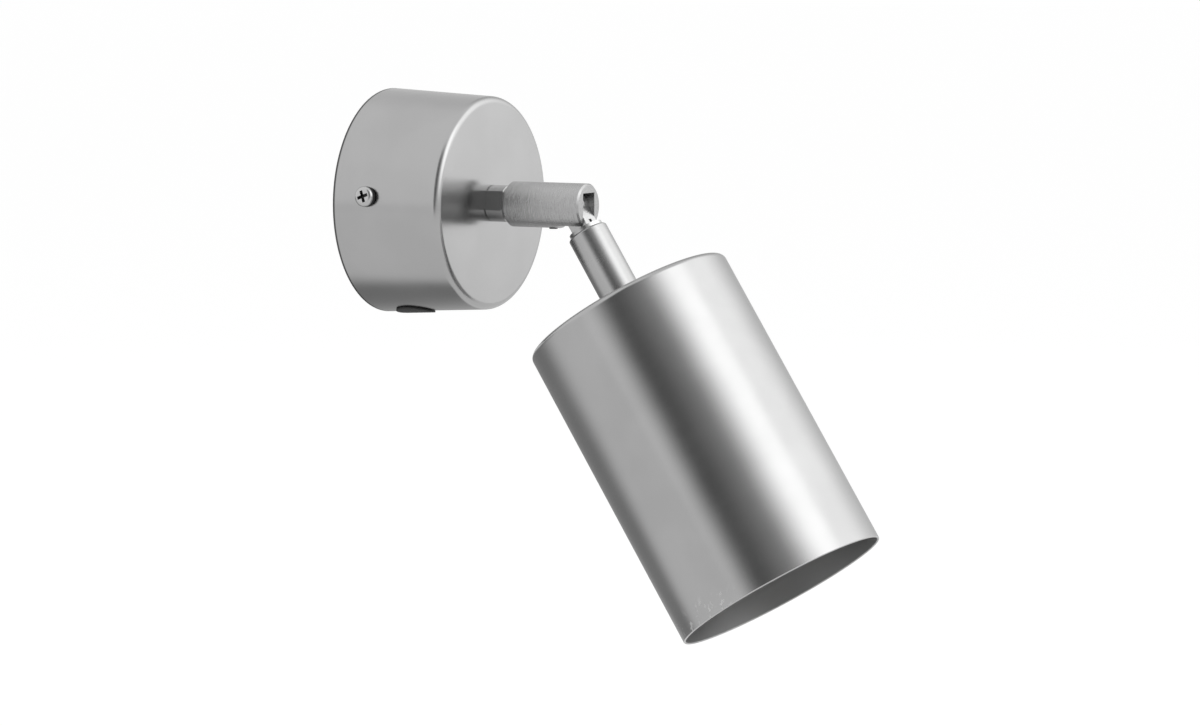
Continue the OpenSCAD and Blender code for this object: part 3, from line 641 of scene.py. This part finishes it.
def stand_in(piece, node):
    """Gives a copy its node's finish and body, and puts it in the node's place."""
    piece.data.materials.append(finish_of(node))
    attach(piece, body_of_node[node])
    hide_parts(node)


def broken_edges(name, node, width):
    """A copy of a CAD node with its flat faces joined up and its sharp edges broken by a small round."""
    sharp_angle = 28.0
    piece, work = merged_copy(name, node, flat_angle=0.4)
    write_back(piece, work, sharp_angle)
    bevel = piece.modifiers.new("Broken edges", "BEVEL")
    bevel.limit_method = "ANGLE"
    bevel.angle_limit = math.radians(sharp_angle)
    bevel.width = width
    bevel.segments = 2
    bevel.use_clamp_overlap = True
    bevel.harden_normals = True
    stand_in(piece, node)


def round_wire(name, node):
    """A copy of a CAD wire with joined faces, smoothed to a round section by one subdivision."""
    end_angle = 60
    piece, work = merged_copy(name, node, flat_angle=1.0)
    crease = work.edges.layers.float.new("crease_edge")
    for edge in work.edges:
        if edge.is_manifold and edge.calc_face_angle() > math.radians(end_angle):
            edge[crease] = 1.0
    write_back(piece, work, end_angle)
    rounding = piece.modifiers.new("Round section", "SUBSURF")
    rounding.levels = 1
    rounding.render_levels = 1
    stand_in(piece, node)


def lens_face(radius, depth, front, pitch, sag):
    """A round lens seen as a closed shell: lenslets in front, a plain rim and a flat back.

    The front is a polar grid. Each point takes the nearest centre of a triangular lattice and lies
    sag * (distance / reach)^2 below the front plane, with reach the lattice's longest distance. The dips
    fade out over one pitch towards the rim.
    """
    turn_count = 288
    ring_count = 120
    turns = np.linspace(0, 2 * np.pi, turn_count, endpoint=False)
    radii = np.linspace(0.0, radius - 2 * sag, ring_count)[1:]
    r, t = np.meshgrid(radii, turns, indexing="ij")
    x = r * np.cos(t)
    y = r * np.sin(t)
    row = pitch * math.sqrt(3) / 2
    best = np.full(x.shape, np.inf)
    for shift in (0, 1):
        v = np.round((y / row - shift) / 2) * 2 + shift
        u = np.round(x / pitch - 0.5 * shift) + 0.5 * shift
        best = np.minimum(best, (x - u * pitch) ** 2 + (y - v * row) ** 2)
    reach = pitch / math.sqrt(3)
    fade = np.clip((radius - 2 * sag - r) / pitch, 0, 1)
    z = front - sag * np.clip(best / reach ** 2, 0, 1) * fade
    rings = [np.stack([x, y, z], -1)]
    for ring_z in (front - sag, front - depth):
        ring = [radius * np.cos(turns), radius * np.sin(turns), np.full(turn_count, ring_z)]
        rings.append(np.stack(ring, -1)[None])
    grid = np.concatenate(rings, 0)
    rows, columns = grid.shape[:2]
    index = np.arange(rows * columns).reshape(rows, columns)
    following = np.roll(index, -1, axis=1)
    faces = np.stack([index[:-1], index[1:], following[1:], following[:-1]], -1).reshape(-1, 4).tolist()
    points = np.concatenate([grid.reshape(-1, 3), [[0, 0, front], [0, 0, front - depth]]])
    centre, back = rows * columns, rows * columns + 1
    faces += np.stack([np.full(columns, centre), index[0], following[0]], -1).tolist()
    faces += np.stack([np.full(columns, back), following[-1], index[-1]], -1).tolist()
    return points, faces


def led_blocks(rings, size, height, back):
    """Small square blocks in rings on the lamp's board: each is a box turned to face its ring's centre."""
    turn_per_metre = 0.2
    corner = np.array([(*side, level) for level in (0, 1) for side in square_corners])
    box = corner * (size / 2, size / 2, height) + (0, 0, back)
    sides = [(side, (side + 1) % 4, (side + 1) % 4 + 4, side + 4) for side in range(4)]
    box_faces = np.array([(3, 2, 1, 0), (4, 5, 6, 7), *sides])
    centres = np.concatenate([
        np.stack([np.full(count, reach), np.arange(count) * 2 * np.pi / count + turn_per_metre * reach], -1)
        for reach, count in rings
    ])
    radii, turns = centres[:, 0], centres[:, 1]
    c, s = np.cos(turns)[:, None], np.sin(turns)[:, None]
    along = box[None, :, 0] + radii[:, None]
    across = np.repeat(box[None, :, 1], len(centres), 0)
    levels = np.repeat(box[None, :, 2], len(centres), 0)
    points = np.stack([along * c - across * s, along * s + across * c, levels], -1)
    faces = box_faces[None] + 8 * np.arange(len(centres))[:, None, None]
    return points.reshape(-1, 3), faces.reshape(-1, 4).tolist()


def along_head(node):
    """How far a node reaches along the head's axis, highest then lowest, and its radius about that axis."""
    points, _ = node_shell(node)
    matrix = np.array(on_head.inverted())
    local = points @ matrix[:3, :3].T + matrix[:3, 3]
    reach = np.hypot(local[:, 0], local[:, 1])
    return float(local[:, 2].max()), float(local[:, 2].min()), float(reach.max())


def screw_line():
    """The place of the line through both side screws, and how far their heads reach along it."""
    points, _ = node_shell("side_screws")
    left = points[points[:, 0] < 0]
    right = points[points[:, 0] > 0]
    middle = Vector((left.mean(0) + right.mean(0)) / 2)
    line = Vector(right.mean(0) - left.mean(0))
    place = Matrix.Translation(middle) @ line.to_track_quat("Z", "Y").to_matrix().to_4x4()
    matrix = np.array(place.inverted())
    return place, float(np.abs(points @ matrix[2, :3] + matrix[2, 3]).max())


# Studio


def direction(azimuth, elevation):
    """Unit vector from degrees: azimuth 0 is along -Y and -90 along -X, elevation is above the horizon."""
    a = math.radians(azimuth)
    e = math.radians(elevation)
    return Vector((math.sin(a) * math.cos(e), -math.cos(a) * math.cos(e), math.sin(e)))


def add_camera(scene):
    """The camera of the photograph: a long lens from the left and a little above."""
    back = direction(photo_azimuth, photo_elevation)
    right = direction(photo_azimuth + 90, 0)
    up = back.cross(right)
    data = bpy.data.cameras.new("camera")
    data.sensor_width = sensor_mm
    data.lens = photo_focal_px / photo_width_px * data.sensor_width
    data.clip_end = 100
    camera = bpy.data.objects.new("camera", data)
    camera.rotation_mode = "QUATERNION"
    camera.rotation_quaternion = Matrix((right, up, back)).transposed().to_quaternion()
    camera.location = camera_aim + back * camera_distance + right * camera_right - up * camera_down
    scene.collection.objects.link(camera)
    scene.camera = camera


def add_world(scene, fill):
    """A white surround for the camera, metal and glass, and a softer one for the light that it gives."""
    world = bpy.data.worlds.new("studio")
    world.use_nodes = True
    tree = world.node_tree
    tree.nodes.clear()
    path = tree.nodes.new("ShaderNodeLightPath")
    seen = tree.nodes.new("ShaderNodeMath")
    seen.operation = "MAXIMUM"
    shown = tree.nodes.new("ShaderNodeMath")
    shown.operation = "MAXIMUM"
    strength = tree.nodes.new("ShaderNodeMapRange")
    strength.inputs["To Min"].default_value = fill
    strength.inputs["To Max"].default_value = 1
    background = tree.nodes.new("ShaderNodeBackground")
    background.inputs["Color"].default_value = (1, 1, 1, 1)
    output = tree.nodes.new("ShaderNodeOutputWorld")
    tree.links.new(path.outputs["Is Camera Ray"], seen.inputs[0])
    tree.links.new(path.outputs["Is Glossy Ray"], seen.inputs[1])
    tree.links.new(seen.outputs[0], shown.inputs[0])
    tree.links.new(path.outputs["Is Transmission Ray"], shown.inputs[1])
    tree.links.new(shown.outputs[0], strength.inputs["Value"])
    tree.links.new(strength.outputs[0], background.inputs["Strength"])
    tree.links.new(background.outputs[0], output.inputs[0])
    scene.world = world


def add_floor(height):
    """A wide pale floor that shows from above only, white to the camera but for the shadow on it.

    Most of what is seen of it is light of its own, and the rest is the paper, which takes the shadow.
    Mirrors see a grey card on it, behind the light.
    """
    half = 20.0
    white_to_camera = 1.12
    white_in_mirrors = 0.93
    card_darkening = 0.72
    own_light_share = 0.8
    f = Finish("floor_paper")
    f.dress(base_color=(0.8, 0.8, 0.8), roughness=0.9)
    path = f.node("ShaderNodeLightPath")
    rays = ("Is Camera Ray", "Is Glossy Ray", "Is Transmission Ray")
    camera, mirror, glass = (Signal(f, path.outputs[name]) for name in rays)
    x, y, _ = f.parts(f.object_point())
    turn = math.radians(floor_card_azimuth)
    towards_card = (x * math.sin(turn) - y * math.cos(turn)) / f.reach(x, y)
    edge, core = (math.cos(math.radians(angle)) for angle in (floor_card_half, floor_card_core))
    card = f.step(towards_card, edge, core)
    glow = f.glow(camera * white_to_camera + mirror * (white_in_mirrors - card * card_darkening) + glass)
    lit = f.mixed((camera + mirror + glass) * own_light_share, f.shader, glow)
    underside = Signal(f, f.node("ShaderNodeNewGeometry").outputs["Backfacing"])
    seen = f.mixed(underside, lit, f.node("ShaderNodeBsdfTransparent"))
    f.tree.links.new(seen.outputs[0], f.output.inputs[0])
    outline = [(half * across, half * along, height) for across, along in square_corners]
    floor = add_mesh("floor", outline, [(0, 1, 2, 3)])
    floor.data.materials.append(f.material)


def add_screen():
    """A curved studio screen that only mirrors see: dark behind the camera, bright to its right.

    It is a part of a sphere about the studio's middle. Its strength is 1 plus the sum of its panels, each
    a smooth step over the azimuth, times a smooth function of the elevation. A grey table hides them low
    down in front.
    """
    azimuths = np.radians(np.linspace(*screen_azimuths))
    elevations = np.radians(np.linspace(*screen_elevations))
    a, e = np.meshgrid(azimuths, elevations, indexing="ij")
    sphere = np.stack([np.sin(a) * np.cos(e), -np.cos(a) * np.cos(e), np.sin(e)], -1)
    points = screen_radius * sphere + np.array(studio_middle)
    screen = add_mesh("studio_screen", points, grid_faces(*a.shape))
    f = Finish("screen_light")
    x, y, z = f.parts(f.object_point(Matrix.Translation(studio_middle)))
    azimuth = f.math("ARCTAN2", x, y * -1) * (180 / math.pi)
    elevation = f.math("ARCSINE", z / screen_radius) * (180 / math.pi)
    change = sum(f.step(azimuth, start, end, 0.0, amount) for _, start, end, amount in screen_panels)
    lit = f.math("MAXIMUM", change, 0) * f.step(elevation, *panels_rise, low_share, 1.0)
    tall = f.step(elevation, *panels_foot) * f.fall(elevation, *panels_top)
    strength = (lit + f.math("MINIMUM", change, 0)) * tall + 1
    table = f.step(azimuth, *table_left) * f.fall(azimuth, *table_right) * f.fall(elevation, *table_top)
    strength = strength + (table_grey - strength) * table
    f.tree.links.new(f.glow(strength).outputs[0], f.output.inputs[0])
    screen.data.materials.append(f.material)
    screen.visible_camera = False
    screen.visible_diffuse = False
    screen.visible_shadow = False
    screen.visible_transmission = False
    screen.visible_volume_scatter = False


def add_softbox(name, azimuth, elevation, distance, size, power):
    """A soft rectangle of light that mirrors don't see, because the screen stands for it there."""
    data = bpy.data.lights.new(name, "AREA")
    data.shape = "RECTANGLE"
    data.size = size[0]
    data.size_y = size[1]
    data.energy = power
    box = bpy.data.objects.new(name, data)
    away = direction(azimuth, elevation)
    box.location = studio_middle + away * distance
    box.rotation_mode = "QUATERNION"
    box.rotation_quaternion = away.to_track_quat("Z", "Y")
    box.visible_glossy = False
    box.visible_camera = False
    bpy.context.scene.collection.objects.link(box)


# Operators


class WALLLIGHT_OT_studio(bpy.types.Operator):
    """Makes the floor, the light and the camera."""

    bl_idname = "walllight.studio"
    bl_label = "Studio"

    def execute(self, context):
        scene = context.scene
        light = settings().studio
        scene.view_settings.view_transform = "Standard"
        add_camera(scene)
        add_world(scene, light.fill)
        add_floor(cad_box[0].z - light.floor_drop)
        add_screen()
        side_share = 0.4
        add_softbox(
            "key_softbox", azimuth=20, elevation=44, distance=1.7, size=(1.3, 1.1), power=light.key,
        )
        add_softbox(
            "side_softbox", azimuth=-120, elevation=25, distance=2.0, size=(1.4, 1.2),
            power=light.key * side_share,
        )
        return {"FINISHED"}


class WALLLIGHT_OT_finishes(bpy.types.Operator):
    """Makes the materials and gives each carried-over CAD node its own."""

    bl_idname = "walllight.finishes"
    bl_label = "Finishes"

    def execute(self, context):
        look = settings().finish
        colour = tuple(look.nickel)
        pitch = look.line_pitch
        satin = {"colour": colour, "roughness": look.satin, "pitch": pitch, "depth": look.line_depth}
        turned = {"colour": colour, "roughness": look.turned, "pitch": pitch / 2}
        fine = {"depth": look.ring_depth / 3, "grain_share": 0.03, **turned}
        satin_metal("cup_nickel", on_wall, zones=cup_zones, **satin)
        satin_metal("tube_nickel", on_head, zones=tube_zones, **satin)
        satin_metal("arm_nickel", on_wall, depth=look.ring_depth, grain_share=0.01, **turned)
        satin_metal("collar_nickel", on_wall, depth=look.ring_depth / 9, grain_share=0.1, **turned)
        satin_metal("neck_nickel", on_head, **fine)
        satin_metal("tongue_nickel", on_head, zones=tongue_zones, **fine)
        recessed_steel("cup_screw_steel", *screw_line(), colour=(0.5, 0.5, 0.5), roughness=0.24)
        plated_steel("zinc_steel", (0.55, 0.56, 0.58), roughness=0.36, depth=3e-6)
        for name, values in smooth_metals.items():
            smooth_metal(name, *values)
        for name, values in moulded_finishes.items():
            moulded(name, *values)
        moulded("white_ceramic", (0.82, 0.8, 0.76), 0.25, 3e-6, skin_scale=500.0, coat=0.4)
        moulded("lens_plastic", (0.95, 0.95, 0.95), 0.3, 3e-6, clear=0.85)
        for node in slot_of:
            materials = frame["nodes"][node].data.materials
            materials.clear()
            materials.append(finish_of(node))
        return {"FINISHED"}


class WALLLIGHT_OT_mount(bpy.types.Operator):
    """Breaks the edges of the wall bracket, its fasteners, the screws at the cup's sides and the rubber."""

    bl_idname = "walllight.mount"
    bl_label = "Wall mount"

    def execute(self, context):
        edge = settings().edge
        broken_edges("cup_screws", "side_screws", edge.machined)
        broken_edges("blanking_grommet", "entry_grommet", edge.moulded / 2)
        broken_edges("wall_plate", "wall_bracket", edge.sheet)
        broken_edges("bush", "cable_bush", edge.moulded / 2)
        broken_edges("earth_ring", "earth_tag", edge.sheet / 2)
        broken_edges("earth_fixing", "earth_screw", edge.sheet / 2)
        broken_edges("collar_hex", "collar_nut", edge.machined)
        return {"FINISHED"}


class WALLLIGHT_OT_wiring(bpy.types.Operator):
    """Rounds the wires and breaks the edges of the terminal block."""

    bl_idname = "walllight.wiring"
    bl_label = "Wiring"

    def execute(self, context):
        edge = settings().edge
        broken_edges("connector_block", "terminal_block", edge.moulded / 2)
        broken_edges("block_fixing", "block_screw", edge.sheet / 2)
        round_wire("brown_lead", "base_live_wire")
        round_wire("blue_lead", "base_neutral_wire")
        round_wire("earth_lead", "base_earth_wire")
        round_wire("brown_head_lead", "head_live_wire")
        round_wire("blue_head_lead", "head_neutral_wire")
        return {"FINISHED"}


class WALLLIGHT_OT_arm(bpy.types.Operator):
    """Breaks the sharp edges of the collar, the arm, the knuckle and their screws."""

    bl_idname = "walllight.arm"
    bl_label = "Arm and knuckle"

    def execute(self, context):
        edge = settings().edge.machined
        broken_edges("collar", "swivel_collar", edge)
        broken_edges("arm", "arm_barrel", edge)
        broken_edges("tongue", "knuckle_tongue", edge)
        broken_edges("neck", "head_barrel", edge)
        broken_edges("grub_screw", "retaining_screw", edge / 2)
        broken_edges("tilt_screw", "pivot_screw", edge)
        return {"FINISHED"}


class WALLLIGHT_OT_holder(bpy.types.Operator):
    """Breaks the edges of the lamp holder, its bracket and the nut that clamps the shade."""

    bl_idname = "walllight.holder"
    bl_label = "Lamp holder"

    def execute(self, context):
        edge = settings().edge
        broken_edges("holder_strip", "holder_bracket", edge.sheet)
        broken_edges("shade_hex", "shade_nut", edge.machined)
        broken_edges("twist_holder", "lamp_holder", edge.moulded)
        broken_edges("strip_screws", "holder_screws", edge.sheet / 2)
        return {"FINISHED"}


class WALLLIGHT_OT_lamp(bpy.types.Operator):
    """Makes the lamp's face: a lens of small lenslets over the blocks of its board."""

    bl_idname = "walllight.lamp"
    bl_label = "Lamp"

    def execute(self, context):
        lens_share = 0.6
        block_share = 0.25
        block_size = 0.003
        block_rings = ((0.0065, 6), (0.0155, 12))
        edge = settings().edge
        broken_edges("lamp_can", "lamp_body", edge.moulded / 2)
        broken_edges("lamp_foot", "lamp_base", edge.moulded)
        broken_edges("lamp_feet", "lamp_pins", edge.sheet)
        lens = settings().lens
        front, back, radius = along_head("lamp_lens")
        thickness = front - back
        points, faces = lens_face(radius, thickness * lens_share, front, lens.pitch, lens.sag)
        piece = add_mesh("lenslet_face", points, faces, on_head)
        piece.data.shade_smooth()
        stand_in(piece, "lamp_lens")
        points, faces = led_blocks(block_rings, block_size, thickness * block_share, back)
        blocks = add_mesh("led_blocks", points, faces, on_head)
        blocks.data.materials.append(finishes["led_phosphor"])
        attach(blocks, body_of_node["lamp_lens"])
        return {"FINISHED"}


class WALLLIGHT_PT_panel(bpy.types.Panel):
    """Lists the settings and the steps in the 3D view's sidebar."""

    bl_idname = "WALLLIGHT_PT_panel"
    bl_label = "Wall light"
    bl_space_type = "VIEW_3D"
    bl_region_type = "UI"
    bl_category = "Wall light"

    def draw(self, context):
        light = settings()
        for group in (light.finish, light.edge, light.lens, light.studio):
            box = self.layout.box()
            for name in group.__annotations__:
                box.prop(group, name)
        for step in steps:
            self.layout.operator(step.bl_idname)


class WallLightSettings(bpy.types.PropertyGroup):
    """All settings of the wall light."""

    finish: bpy.props.PointerProperty(type=FinishSettings)
    edge: bpy.props.PointerProperty(type=EdgeSettings)
    lens: bpy.props.PointerProperty(type=LensSettings)
    studio: bpy.props.PointerProperty(type=StudioSettings)


steps = (
    WALLLIGHT_OT_studio, WALLLIGHT_OT_finishes, WALLLIGHT_OT_mount, WALLLIGHT_OT_wiring,
    WALLLIGHT_OT_arm, WALLLIGHT_OT_holder, WALLLIGHT_OT_lamp,
)
groups = (FinishSettings, EdgeSettings, LensSettings, StudioSettings, WallLightSettings)
classes = (*groups, *steps, WALLLIGHT_PT_panel)


def register():
    for cls in classes:
        bpy.utils.register_class(cls)
    bpy.types.Scene.wall_light = bpy.props.PointerProperty(type=WallLightSettings)


def unregister():
    del bpy.types.Scene.wall_light
    for cls in reversed(classes):
        bpy.utils.unregister_class(cls)


def main():
    """Registers the add-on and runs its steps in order."""
    register()
    for step in steps:
        group, name = step.bl_idname.split(".")
        getattr(getattr(bpy.ops, group), name)()


if __name__ == "__main__":
    main()
